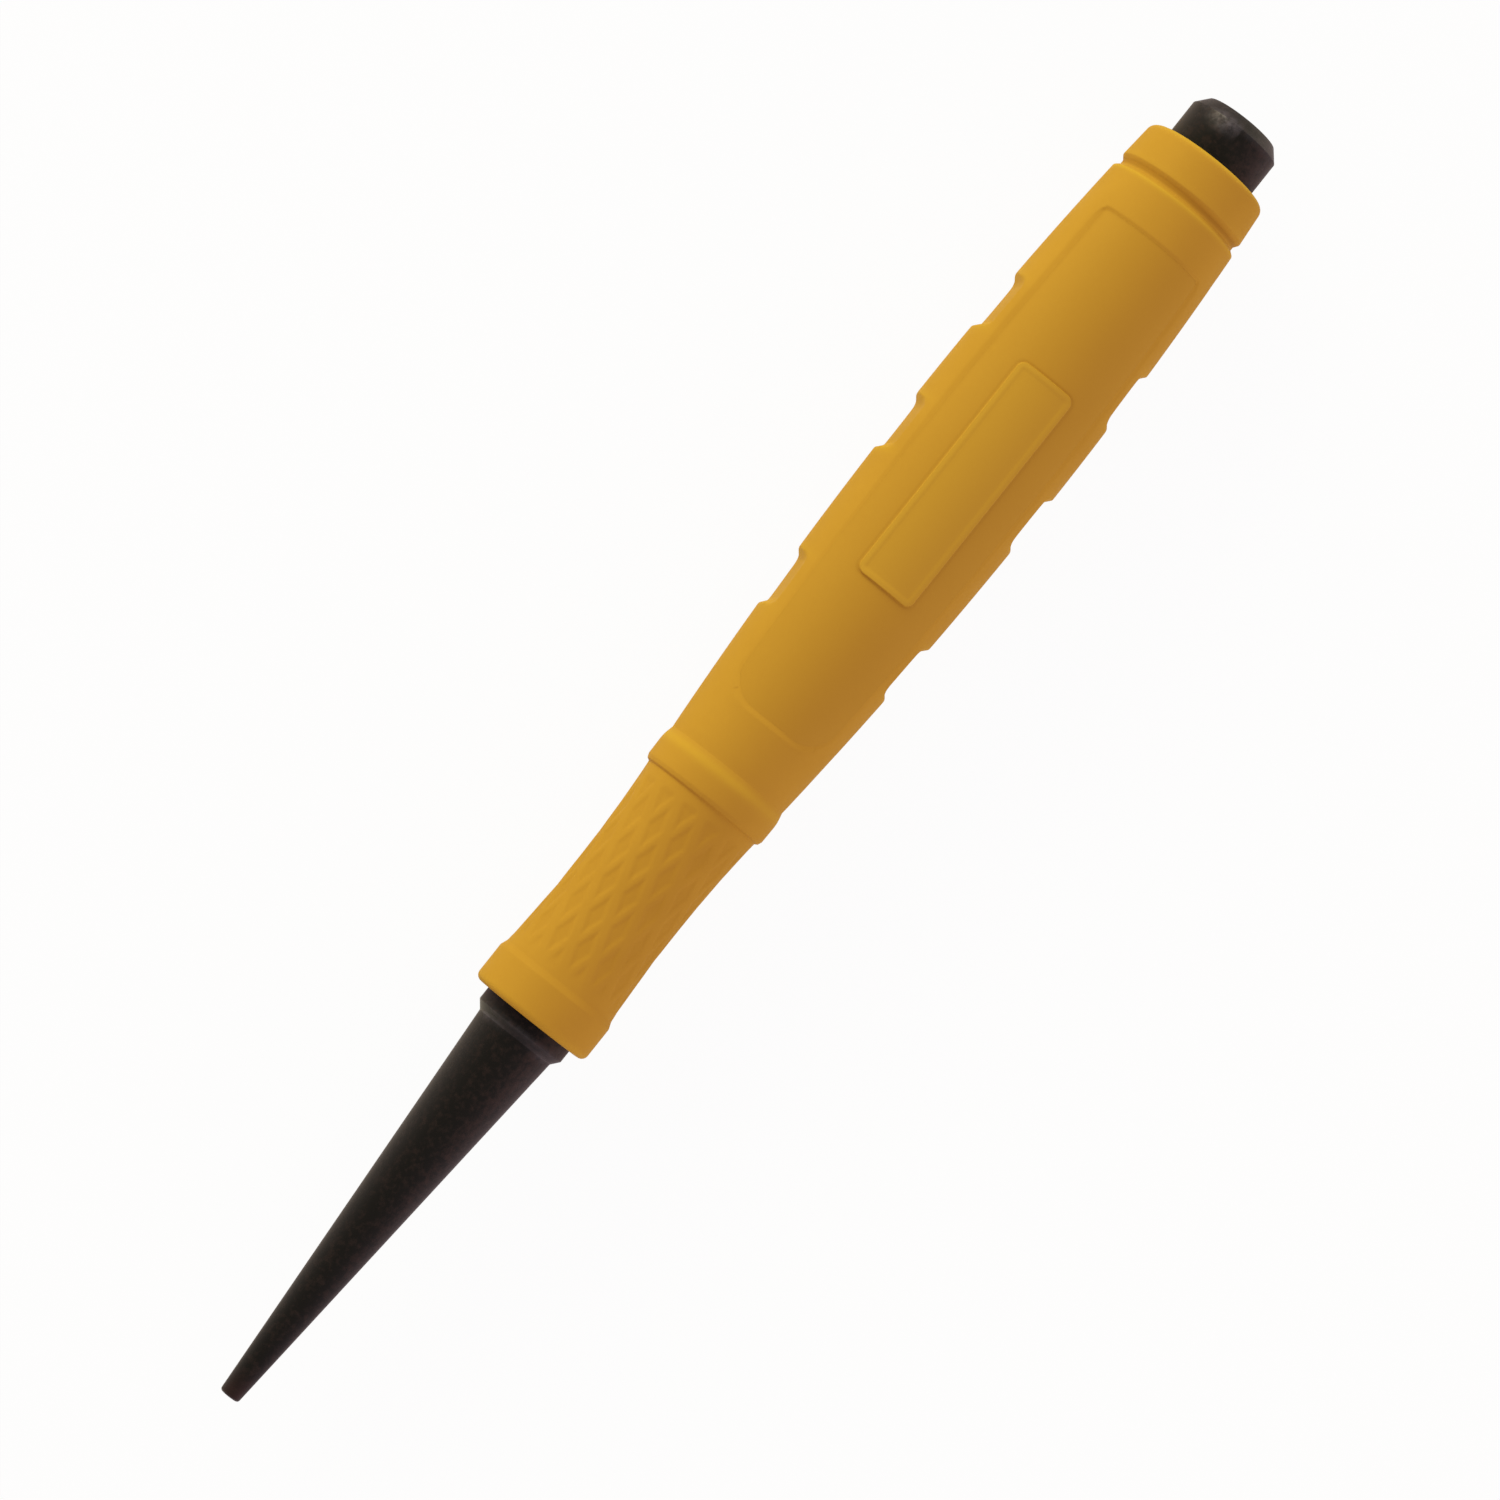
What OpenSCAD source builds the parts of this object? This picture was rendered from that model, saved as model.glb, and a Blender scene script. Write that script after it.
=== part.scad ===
// Nail set: a steel punch in a moulded finger grip, lying on a bench.
// +X runs from the point to the head, and +Z is the side of the grip with the curved name plate.
// The tool lies on the flat plate on the back of its grip.
// x = 0 is the middle of the tool and z = 0 is the bench. Stations are measured from the point.

/* [Punch] */
// Diameter of the point
tip_d = 2; // [1.2:0.1:3.5]
// Length of the cone, from the point to the shoulder
cone_l = 42; // [30:0.5:60]
// Diameter of the cone where it meets the shoulder
cone_d = 8.2; // [6:0.1:9]
// Length of the sloped shoulder
shoulder_l = 0.8; // [0.4:0.1:2]
// Length of bare shank between the shoulder and the grip
bare_l = 1.3; // [0.6:0.1:6]
// Diameter of the round bar that the punch is made from
shank_d = 9.5; // [9.2:0.1:10.2]
// Length of the head, from the grip to the striking face
head_l = 5.05; // [3:0.05:10]
// Length of the chamfer round the striking face
chamfer_l = 1.2; // [0.5:0.1:2]
// Diameter of the striking face
face_d = 7.5; // [5:0.1:9]
// Width of each anchoring groove that the grip is moulded into
key_w = 2.4; // [1.8:0.1:4]
// Depth of each anchoring groove and each anchoring flat
key_deep = 0.4; // [0.2:0.05:0.8]
// Length of the two flats that stop the grip from turning
flat_l = 18; // [8:1:24]

/* [Grip ends and neck] */
// Length of the lower collar, to the middle of its step
collar_l = 4.15; // [2.5:0.05:8]
// Diameter of the lower collar
collar_d = 12.7; // [12.5:0.1:14]
// Length of the waisted neck
neck_l = 21.45; // [16:0.05:30]
// Diameter of the neck beside the collar
neck_low_d = 12.2; // [11.8:0.1:12.4]
// Diameter of the neck at its waist
waist_d = 11.4; // [11.2:0.1:12]
// Diameter of the neck beside the ring
neck_high_d = 12.4; // [11.8:0.1:13]
// Length of the rounded ring above the neck
ring_l = 3.7; // [2.5:0.1:6]
// Diameter of the ring
ring_d = 13.3; // [13:0.1:14.5]
// Length of the end cap, from the middle of its groove
cap_l = 4.55; // [3:0.05:8]
// Diameter of the end cap beside its groove
cap_d = 13.7; // [13.4:0.1:14.5]
// Diameter that the end cap tapers to
cap_end_d = 13; // [12.4:0.1:13.6]
// Width of the groove below the end cap
groove_w = 1.6; // [0.8:0.1:2.4]
// Diameter at the bottom of the groove
groove_d = 13; // [12.4:0.1:13.4]
// Radius on the outer edges of the grip's two ends
end_round = 1.05; // [0.3:0.05:1.4]

/* [Grip body] */
// Length of the crowned body, from the ring to the middle of the groove
body_l = 67; // [55:0.5:90]
// Diameter of the body where it meets the ring
body_low_d = 12.9; // [12.7:0.1:13.2]
// Diameter of the body at its belly
belly_d = 16; // [15.2:0.1:20]
// Diameter of the body at the groove
body_high_d = 13.85; // [13.4:0.05:15]
// Length of each flat finger recess, at the surface
recess_l = 6.8; // [4:0.1:9]
// Depth of each finger recess
recess_deep = 0.9; // [0.4:0.05:1]
// Length of the slope at each end of a finger recess
recess_slope = 1.3; // [0.5:0.1:1.9]

/* [Diamond net] */
// Pockets in each row round the neck
net_around = 14; // [8:1:18]
// Distance between rows along the neck
net_step = 3.1; // [2.4:0.05:4.5]
// Length of one diamond pocket
pocket_l = 4.3; // [2.5:0.1:5]
// Width of one diamond pocket
pocket_w = 1.45; // [0.8:0.05:1.9]
// Depth of the pockets at the middle
pocket_deep = 0.25; // [0.1:0.01:0.35]

/* [Core, panels and name plate] */
// Wall of the rigid core round the shank
core_wall = 1.15; // [0.8:0.05:1.3]
// Length of core that the sleeve covers beyond each end of a panel
core_cover = 1.6; // [0.8:0.1:2.4]
// Distance from the ring to the lower edge of a panel
panel_low_gap = 5.4; // [4:0.1:12]
// Distance from the upper edge of a panel to the middle of the groove
panel_high_gap = 5.1; // [4:0.1:12]
// How far a panel lies below the sleeve
panel_sink = 0.25; // [0.1:0.05:0.4]
// Radius of a panel's lower corners
panel_low_round = 2.6; // [0.5:0.1:3.4]
// Radius of a panel's upper corners
panel_high_round = 0.6; // [0.3:0.1:2]
// Length of the bare plate on each face
plate_l = 24.4; // [14:0.1:36]
// Width of the plates
plate_w = 6.2; // [4:0.1:8]
// How far the curved name plate on the front stands above its panel
plate_proud = 0.35; // [0.2:0.05:0.8]
// How far the flat plate on the back stands above its panel at the belly
back_proud = 0.25; // [0.2:0.05:0.6]
// Width of the lip round each plate
plate_lip = 0.4; // [0.2:0.05:1]
// Radius of the plates' corners
plate_round = 0.8; // [0.4:0.1:1.8]

/* [Hidden] */
steel = [0.16, 0.14, 0.14];
core_yellow = [0.82, 0.6, 0.1];
sleeve_yellow = [0.86, 0.64, 0.12];

// Clearance left between two moulded faces, and how far a cut runs past what it cuts
fit = 0.02;
overrun = 1;
// Facets that OpenSCAD draws on a round, and points on a fillet and on a curved run
round_fn = 96;
fillet_steps = 5;
run_steps = 9;
panel_steps = 8;

// Small edges and steps
tip_edge = tip_d * 0.15;
cup_r = tip_d * 0.22;
cup_deep = tip_d * 0.1;
steel_edge = 0.15;
grip_edge = 0.3;
ring_round = 1.1;
step_l = 0.7;
groove_floor = groove_w * 0.2;
lip_h = plate_proud * 0.3;
back_lip_h = back_proud * 0.4;
half_flat = recess_l / 2 - recess_slope;

// Where things lie along the stretch that carries them
waist_share = 0.467;
belly_share = 0.569;
net_mid_share = 0.482;
recess_shares = [0.255, 0.523, 0.738];
key_shares = [0.14, 0.86];

// How far a panel reaches round the body on each side, and how far each net row is turned on
panel_half_angle = 52;
net_lean = 1.5;
net_start = -9;

// Stations along the axis, from the point
shank_x = cone_l + shoulder_l;
grip_x = shank_x + bare_l;
collar_x = grip_x + collar_l;
ring_x = collar_x + neck_l;
body_x = ring_x + ring_l;
groove_x = body_x + body_l;
grip_end_x = groove_x + cap_l;
overall_l = grip_end_x + head_l;
waist_x = collar_x + neck_l * waist_share;
belly_x = body_x + body_l * belly_share;
panel_x = body_x + panel_low_gap;
panel_end_x = groove_x - panel_high_gap;
panel_l = panel_end_x - panel_x;
core_x = panel_x - core_cover;
core_end_x = panel_end_x + core_cover;
core_l = core_end_x - core_x;
plate_x = panel_x + (panel_l - plate_l) / 2;
net_x = collar_x + neck_l * net_mid_share;

// Radii, and the height of the axis above the bench
shank_r = shank_d / 2;
core_r = shank_r + core_wall;
belly_r = belly_d / 2;
axis_h = belly_r - panel_sink + back_proud;
panel_floor = core_r * cos(panel_half_angle);

// Vectors in the plane
function unit(v) = v / norm(v);
function turned_by(v, a) = [v.x * cos(a) - v.y * sin(a), v.x * sin(a) + v.y * cos(a)];

// One corner of an outline, rounded by an arc that keeps within half of each side beside it
function corner(before, at, after, r) =
    let (
        u = unit(before - at),
        v = unit(after - at),
        open = acos(max(-1, min(1, u * v))),
        reach = min(r / tan(open / 2), norm(before - at) / 2, norm(after - at) / 2),
        arc_r = reach * tan(open / 2),
        centre = at + unit(u + v) * arc_r / sin(open / 2),
        sweep = (u.x * v.y - u.y * v.x > 0 ? -1 : 1) * (180 - open),
        start = at + u * reach - centre
    )
    [for (k = [0 : fillet_steps]) centre + turned_by(start, sweep * k / fillet_steps)];

// An outline from a closed list of [x, y, radius of the corner]
function rounded(list) =
    let (n = len(list), p = [for (q = list) [q.x, q.y]])
    [
        for (i = [0 : n - 1])
            each (list[i].z == 0 ? [p[i]] : corner(p[(i + n - 1) % n], p[i], p[(i + 1) % n], list[i].z))
    ];

// Radius at station x of a run whose ends curve away from its radius at the middle
function bowed(x, low_x, mid_x, high_x, low_r, mid_r, high_r) =
    x < mid_x
        ? mid_r + (low_r - mid_r) * pow((mid_x - x) / (mid_x - low_x), 2)
        : mid_r + (high_r - mid_r) * pow((x - mid_x) / (high_x - mid_x), 2);

function neck_r(x) =
    bowed(x, collar_x, waist_x, ring_x, neck_low_d / 2, waist_d / 2, neck_high_d / 2);

function crown_r(x) =
    bowed(x, body_x, belly_x, groove_x, body_low_d / 2, belly_r, body_high_d / 2);

// Stations that divide a stretch evenly, both ends included
function stations(from, to, count) = [for (k = [0 : count]) from + (to - from) * k / count];

// Lays a closed outline of [radius, station] along +X and turns it about the axis
module turned(outline) {
    rotate([0, 90, 0])
        rotate_extrude($fn = round_fn)
            polygon(outline);
}

// Puts a piece that is modelled on the axis, from the point, where the tool lies on the bench
module on_bench() {
    translate([-overall_l / 2, 0, axis_h])
        children();
}

// Points of one anchoring groove with sloped walls, for a bar that is grown by the clearance
function key_points(x, grow) = [
    [shank_r + grow, x - key_w / 2, 0],
    [shank_r - key_deep + grow, x - key_w / 2 + key_deep, 0],
    [shank_r - key_deep + grow, x + key_w / 2 - key_deep, 0],
    [shank_r + grow, x + key_w / 2, 0]
];

// Middles of the anchoring grooves. The outer two start where the bar goes into the grip
key_places = [
    grip_x + key_w / 2,
    for (s = key_shares) core_x + core_l * s,
    grip_end_x - key_w / 2
];

// The bar between the point and the head, as drawn inside the grip
function bar_points(grow) = [for (x = key_places) each key_points(x, grow)];

// The two flats across the bar, cut back by the clearance where a moulding fills them
module key_flats(grow) {
    for (side = [0, 1])
        mirror([0, side, 0])
            translate([core_x + (core_l - flat_l) / 2 + grow, shank_r - key_deep + grow, -shank_r])
                cube([flat_l - 2 * grow, overrun, shank_d]);
}

// The bar with its grooves and flats, grown by the clearance, to be cut out of a moulding
module bar_space() {
    difference() {
        turned(rounded(concat(
            [[0, shank_x, 0], [shank_r + fit, shank_x, 0]],
            bar_points(fit),
            [[shank_r + fit, overall_l, 0], [0, overall_l, 0]]
        )));
        key_flats(fit);
    }
}

// Plan of a panel, whose sides follow the body's crown, drawn in by the inset
function panel_plan(inset) =
    let (
        xs = stations(panel_x + inset, panel_end_x - inset, panel_steps),
        side = [
            for (k = [0 : panel_steps])
                [
                    xs[k],
                    crown_r(xs[k]) * sin(panel_half_angle) - inset,
                    k == 0 ? panel_low_round : k == panel_steps ? panel_high_round : 0
                ]
        ]
    )
    rounded(concat(side, [for (k = [panel_steps : -1 : 0]) [side[k].x, -side[k].y, side[k].z]]));

// Plan of a plate, drawn in by the inset
function plate_plan(inset) =
    let (
        low = plate_x + inset,
        high = plate_x + plate_l - inset,
        half = plate_w / 2 - inset,
        r = plate_round
    )
    rounded([[low, half, r], [high, half, r], [high, -half, r], [low, -half, r]]);

// A straight block over a plan, from one height above the axis to another, or up past the body
module block(plan, floor_h, top_h = belly_r + overrun) {
    translate([0, 0, floor_h])
        linear_extrude(top_h - floor_h)
            polygon(plan);
}

// The solid body of revolution that lies a given height above the sleeve's crown
module crowned(rise, low, high) {
    xs = stations(low, high, run_steps * 2);
    turned(concat([[0, low]], [for (x = xs) [crown_r(x) + rise, x]], [[0, high]]));
}

// The steel punch: cupped point, cone, shoulder, grooved and flatted shank, chamfered head
module punch() {
    color(steel)
        on_bench()
            difference() {
                turned(rounded(concat(
                    [
                        [0, cup_deep, 0],
                        [cup_r, 0, 0],
                        [tip_d / 2 + (cone_d - tip_d) / 2 * tip_edge / cone_l, 0, tip_edge],
                        [cone_d / 2, cone_l, 0],
                        [shank_r, shank_x, steel_edge]
                    ],
                    bar_points(0),
                    [
                        [shank_r, overall_l - chamfer_l, steel_edge],
                        [face_d / 2, overall_l, steel_edge],
                        [0, overall_l, 0]
                    ]
                )));
                key_flats(0);
            }
}

// The flat plate that the tool lies on: an even field with a lip round it
module back_plate() {
    rotate([180, 0, 0]) {
        block(plate_plan(0), panel_floor + fit, axis_h - back_lip_h);
        difference() {
            block(plate_plan(0), core_r, axis_h);
            block(plate_plan(plate_lip), core_r - overrun);
        }
    }
}

// The rigid core: a tube moulded on the shank, with a panel and a plate on each face
module grip_core() {
    color(core_yellow)
        on_bench()
            difference() {
                union() {
                    turned([
                        [0, core_x + fit],
                        [core_r - fit, core_x + fit],
                        [core_r - fit, core_end_x - fit],
                        [0, core_end_x - fit]
                    ]);
                    for (turn = [0, 180])
                        rotate([turn, 0, 0])
                            intersection() {
                                crowned(-panel_sink, panel_x, panel_end_x);
                                block(panel_plan(fit), panel_floor + fit);
                            }
                    intersection() {
                        crowned(plate_proud - panel_sink - lip_h, plate_x - overrun, plate_x + plate_l + overrun);
                        block(plate_plan(0), panel_floor + fit);
                    }
                    intersection() {
                        crowned(plate_proud - panel_sink, plate_x - overrun, plate_x + plate_l + overrun);
                        difference() {
                            block(plate_plan(0), core_r);
                            block(plate_plan(plate_lip), core_r - overrun);
                        }
                    }
                    back_plate();
                }
                bar_space();
            }
}

// Outline of the sleeve from its lower collar to its end cap, over the bore of the shank
function sleeve_points() = concat(
    [
        [shank_r / 2, grip_x, 0],
        [collar_d / 2, grip_x, end_round],
        [collar_d / 2, collar_x - step_l / 2, grip_edge],
        [neck_low_d / 2, collar_x + step_l / 2, grip_edge]
    ],
    [for (x = stations(collar_x + step_l * 2, ring_x - step_l * 2, run_steps)) [neck_r(x), x, 0]],
    [
        [neck_r(ring_x - step_l / 2), ring_x - step_l / 2, grip_edge],
        [ring_d / 2, ring_x + step_l / 2, grip_edge],
        [ring_d / 2, body_x - ring_round, ring_round],
        [body_low_d / 2, body_x, grip_edge]
    ],
    [for (x = stations(body_x + ring_l / 2, groove_x - groove_w, run_steps * 2)) [crown_r(x), x, 0]],
    [
        [crown_r(groove_x - groove_w / 2), groove_x - groove_w / 2, grip_edge],
        [groove_d / 2, groove_x - groove_floor / 2, grip_edge],
        [groove_d / 2, groove_x + groove_floor / 2, grip_edge],
        [cap_d / 2, groove_x + groove_w / 2, grip_edge],
        [cap_end_d / 2, grip_end_x, end_round],
        [shank_r / 2, grip_end_x, 0]
    ]
);

// One finger recess on the +Y side: a flat floor that follows the crown, and a slope at each end
module recess(x) {
    low = x - half_flat;
    high = x + half_flat;
    rise = recess_deep + overrun;
    run = recess_slope * rise / recess_deep;
    translate([0, 0, -belly_r])
        linear_extrude(belly_d)
            polygon(rounded([
                [low - run, crown_r(low) + overrun, 0],
                [low, crown_r(low) - recess_deep, recess_slope],
                [high, crown_r(high) - recess_deep, recess_slope],
                [high + run, crown_r(high) + overrun, 0]
            ]));
}

// One diamond pocket whose middle is at station x, clipped where the neck ends
module pocket(x) {
    low = collar_x + step_l;
    high = ring_x - step_l;
    translate([0, 0, neck_r(x) - pocket_deep])
        linear_extrude(overrun)
            intersection() {
                polygon([
                    [x - pocket_l / 2, 0],
                    [x, pocket_w / 2],
                    [x + pocket_l / 2, 0],
                    [x, -pocket_w / 2]
                ]);
                translate([low, -pocket_w])
                    square([high - low, pocket_w * 2]);
            }
}

// Rows of diamond pockets round the neck, each row half a pocket on from the last
module net() {
    reach = floor((neck_l / 2 - step_l) / net_step);
    for (row = [-reach : reach])
        for (k = [0 : net_around - 1])
            rotate([net_start + net_lean * row + (k + row / 2) * 360 / net_around, 0, 0])
                pocket(net_x + row * net_step);
}

// The soft sleeve: collar, netted neck, ring, crowned body with windows and recesses, end cap
module grip_sleeve() {
    color(sleeve_yellow)
        on_bench()
            difference() {
                turned(rounded(sleeve_points()));
                bar_space();
                turned([[0, core_x], [core_r, core_x], [core_r, core_end_x], [0, core_end_x]]);
                for (turn = [0, 180])
                    rotate([turn, 0, 0])
                        block(panel_plan(0), panel_floor);
                for (side = [0, 1])
                    mirror([0, side, 0])
                        for (s = recess_shares)
                            recess(body_x + body_l * s);
                net();
            }
}

punch();
grip_core();
grip_sleeve();
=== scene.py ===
import math
import bmesh
import bpy
import numpy as np
from mathutils import Matrix, Vector


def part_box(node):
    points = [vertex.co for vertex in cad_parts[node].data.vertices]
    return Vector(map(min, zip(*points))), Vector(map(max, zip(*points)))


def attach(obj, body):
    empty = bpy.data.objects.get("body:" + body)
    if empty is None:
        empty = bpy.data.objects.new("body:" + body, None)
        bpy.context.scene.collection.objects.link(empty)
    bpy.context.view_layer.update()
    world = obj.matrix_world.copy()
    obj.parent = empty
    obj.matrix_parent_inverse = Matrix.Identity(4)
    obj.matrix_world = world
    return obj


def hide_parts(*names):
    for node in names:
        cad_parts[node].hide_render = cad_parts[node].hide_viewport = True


# A nail set: a blackened steel punch in a yellow moulded grip, lying on white paper.
# Shapes are worked out in millimetres. A station is a distance along the axis from the point.
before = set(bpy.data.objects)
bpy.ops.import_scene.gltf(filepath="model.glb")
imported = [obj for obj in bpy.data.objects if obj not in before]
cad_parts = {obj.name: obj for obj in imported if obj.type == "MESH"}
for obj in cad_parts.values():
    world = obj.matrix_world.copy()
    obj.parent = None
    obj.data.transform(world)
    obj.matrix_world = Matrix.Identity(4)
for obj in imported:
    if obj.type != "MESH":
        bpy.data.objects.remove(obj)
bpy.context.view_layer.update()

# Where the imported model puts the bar, the grip and the axis
punchLow, punchHigh = [np.array(corner) * 1000 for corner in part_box("punch")]
gripLow, gripHigh = [np.array(corner) * 1000 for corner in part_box("grip_sleeve")]
tipX = punchLow[0]
axisHeight = (punchLow[2] + punchHigh[2]) / 2
overallLong = punchHigh[0] - tipX
gripStart = gripLow[0] - tipX
gripEnd = gripHigh[0] - tipX


# Shapes

# A point at a station, a radius and an angle in degrees from +Z towards -Y, in millimetres
def place(station, radius, angle):
    turn = np.radians(angle)
    return station + tipX, -radius * np.sin(turn), axisHeight + radius * np.cos(turn)


# Three t squared less two t cubed, held between 0 and 1
def ease(t):
    t = np.clip(t, 0, 1)
    return t * t * (3 - 2 * t)


# The smaller of two values, with the corner between them rounded over about the softness
def softMin(a, b, softness):
    return (a + b - np.sqrt((a - b) ** 2 + softness ** 2)) / 2


# The larger of a value and zero, rounded in the same way
def softRamp(value, softness):
    return (value + np.sqrt(value ** 2 + softness ** 2)) / 2


# A bell of height one round a middle: e to minus the square of the distance over the width
def bell(value, middle, width):
    return np.exp(-((value - middle) / width) ** 2)


# Two half parabolas that meet level at a middle station
def bowed(station, low, middle, high):
    below = middle[1] + (low[1] - middle[1]) * ((middle[0] - station) / (middle[0] - low[0])) ** 2
    above = middle[1] + (high[1] - middle[1]) * ((station - middle[0]) / (high[0] - middle[0])) ** 2
    return np.where(station < middle[0], below, above)


# A row of values from a start through (end, number of steps) pairs, each stretch divided evenly
def stretches(start, *ends):
    values = [np.array([start])]
    for end, count in ends:
        values.append(np.linspace(values[-1][-1], end, count + 1)[1:])
    return np.concatenate(values)


# A path of (station, radius) through corners that each have a fillet radius. Each fillet is an arc that
# touches both sides, in steps of about arcStep radians. Straight stretches are cut to the longest step.
def filletPath(corners, longest, arcStep=0.22, leastTurn=0.01):
    corners = np.array(corners, float)
    at = corners[:, :2]
    pieces = [at[:1]]
    for i in range(1, len(at) - 1):
        back, on = at[i - 1] - at[i], at[i + 1] - at[i]
        backLong, onLong = np.linalg.norm(back), np.linalg.norm(on)
        back, on = back / backLong, on / onLong
        opening = math.acos(max(-1.0, min(1.0, float(back @ on))))
        turn = math.pi - opening
        if corners[i, 2] == 0 or turn < leastTurn:
            pieces.append(at[i:i + 1])
            continue
        reach = min(corners[i, 2] / math.tan(opening / 2), backLong / 2, onLong / 2)
        radius = reach * math.tan(opening / 2)
        middle = at[i] + (back + on) / np.linalg.norm(back + on) * radius / math.sin(opening / 2)
        first, last = at[i] + back * reach - middle, at[i] + on * reach - middle
        share = np.linspace(0, 1, max(3, int(round(turn / arcStep))) + 1)[:, None]
        arc = np.sin((1 - share) * turn) * first + np.sin(share * turn) * last
        pieces.append(middle + arc / math.sin(turn))
    pieces.append(at[-1:])
    path = np.concatenate(pieces)
    long = np.linalg.norm(np.diff(path, axis=0), axis=1)
    path = path[np.concatenate([[True], long > 1e-6])]  # doubled points go
    long = np.linalg.norm(np.diff(path, axis=0), axis=1)
    counts = np.maximum(1, np.ceil(long / longest)).astype(int)
    start = np.repeat(np.arange(len(long)), counts)
    share = (np.arange(counts.sum()) - np.repeat(np.cumsum(counts) - counts, counts)) / counts[start]
    return np.vstack([path[start] + (path[start + 1] - path[start]) * share[:, None], path[-1:]])


# Rounds one corner of a grid of straight lines.
# Going in from a corner, the nested L lines become arcs about one centre, whose radius is the corner's
# less the depth. Outside the corner the rounding fades out over the keep distance.
def roundCorner(inX, inY, radius, keep):
    depth, far = np.minimum(inX, inY), np.maximum(inX, inY)
    along = far - depth
    arc = radius - depth
    reached = (arc > 1e-9) & (along < arc)
    safe = np.where(arc > 1e-9, arc, 1)
    turn = np.where(reached, math.pi / 4 * (1 - along / safe), 0)
    newAlong = np.where(reached, depth + arc * (1 - np.sin(turn)), far)
    newAcross = np.where(reached, depth + arc * (1 - np.cos(turn)), depth)
    hold = 1 - ease(-depth / keep)
    newAlong = far + (newAlong - far) * hold
    newAcross = depth + (newAcross - depth) * hold
    xIsAlong = inX > inY
    return np.where(xIsAlong, newAlong, newAcross), np.where(xIsAlong, newAcross, newAlong)


# A bell along an edge, for wear and for painted highlights and shade: so much, so far beyond the edge's
# station, and so wide
def alongEdge(station, edge, howMuch, beyond, width):
    return howMuch * bell(station, edge + beyond, width)


# Shells: a piece's points, with each one's wear and painted highlight, its painted shade, and its faces

fineSteps = 4  # fine lines on the outside to each coarse one inside the grip


def newShell():
    return {"points": [], "count": 0, "faces": []}


# Adds a grid of points by station, radius and angle, and gives back their numbers
def addGrid(shell, station, radius, angle, wearAndHighlight=0.0, paintedShade=0.0):
    x, y, z = place(station, radius, angle)
    return addPoints(shell, x, y, z, wearAndHighlight, paintedShade)


# The same for points by their place in millimetres
def addPoints(shell, x, y, z, wearAndHighlight=0.0, paintedShade=0.0):
    columns = np.broadcast_arrays(x, y, z, wearAndHighlight, paintedShade)
    ids = np.arange(columns[0].size).reshape(columns[0].shape) + shell["count"]
    shell["points"].append(np.stack([column.reshape(-1) for column in columns], -1))
    shell["count"] += ids.size
    return ids


# Four-sided faces over a grid, or over the cells of it that are kept
def addQuads(shell, ids, kept=None):
    quads = np.stack([ids[:-1, :-1], ids[:-1, 1:], ids[1:, 1:], ids[1:, :-1]], -1)
    shell["faces"].append(quads.reshape(-1, 4) if kept is None else quads[kept])


# Walls between the four sides of a fine grid and those of a coarse one. Each face goes from a run of
# short edges to the one long edge that faces them.
def addWalls(shell, fineIds, coarseIds, run=fineSteps):
    for fine, coarse in ((fineIds[:, 0], coarseIds[:, 0]), (fineIds[:, -1], coarseIds[:, -1]),
                         (fineIds[0], coarseIds[0]), (fineIds[-1], coarseIds[-1])):
        cells = [fine[k:len(fine) - run + k:run] for k in range(run)]
        shell["faces"].append(np.stack(cells + [fine[run::run], coarse[1:], coarse[:-1]], -1))


# Triangles between two closed rings with different counts, taken in order of angle.
# Each edge of a ring is joined to the point that the other ring has reached by then.
def addBridge(shell, ringA, anglesA, ringB, anglesB):
    start = anglesA[0]
    turnB = (anglesB - start) % 360
    order = np.argsort(turnB)
    ringB, turnB = ringB[order], turnB[order]
    turnA = np.append((anglesA - start) % 360, 360)
    turnB = np.append(turnB, turnB[0] + 360)
    ringA, ringB = np.append(ringA, ringA[0]), np.append(ringB, ringB[0])
    reachedB = np.searchsorted(turnB[1:], turnA[1:], side="left")
    reachedA = np.searchsorted(turnA[1:], turnB[1:], side="right")
    reachedA = np.minimum(reachedA, len(ringA) - 1)
    shell["faces"].append(np.stack([ringA[:-1], ringA[1:], ringB[reachedB]], -1))
    shell["faces"].append(np.stack([ringB[1:], ringB[:-1], ringA[reachedA]], -1))


# The grid closed on itself round the axis
def closedRound(ids):
    return np.column_stack([ids, ids[:, :1]])


# A new object in the scene
def addObject(name, data):
    thing = bpy.data.objects.new(name, data)
    bpy.context.scene.collection.objects.link(thing)
    return thing


# Turns a shell into a piece: seams and poles are merged where points are within mergeWithin metres,
# faces point outwards, and edges that turn by more than sharpFrom degrees stay sharp
def finishPiece(shell, name, material, node, mergeWithin=1e-7, sharpFrom=38):
    points = np.concatenate(shell["points"])
    faces = [face for block in shell["faces"] for face in block.tolist()]
    mesh = bpy.data.meshes.new(name)
    mesh.from_pydata(points[:, :3] / 1000, [], faces)
    for column, label in ((3, "wearAndHighlight"), (4, "paintedShade")):
        layer = mesh.attributes.new(label, "FLOAT", "POINT")
        layer.data.foreach_set("value", points[:, column].astype(np.float32))
    work = bmesh.new()
    work.from_mesh(mesh)
    bmesh.ops.remove_doubles(work, verts=work.verts, dist=mergeWithin)
    bmesh.ops.recalc_face_normals(work, faces=work.faces)
    work.to_mesh(mesh)
    work.free()
    mesh.shade_smooth()
    mesh.set_sharp_from_angle(angle=math.radians(sharpFrom))
    piece = addObject(name, mesh)
    mesh.materials.append(material)
    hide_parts(node)
    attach(piece, "root")
    triangles = sum(len(face.vertices) - 2 for face in mesh.polygons)
    print(name, len(mesh.vertices), "points,", triangles, "triangles")
    return piece


# Materials

# An sRGB hex colour as linear red, green, blue and alpha
def linearColour(code):
    shares = [int(code[i:i + 2], 16) / 255 for i in (1, 3, 5)]
    return tuple(s / 12.92 if s <= 0.04045 else ((s + 0.055) / 1.055) ** 2.4 for s in shares) + (1.0,)


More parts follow.
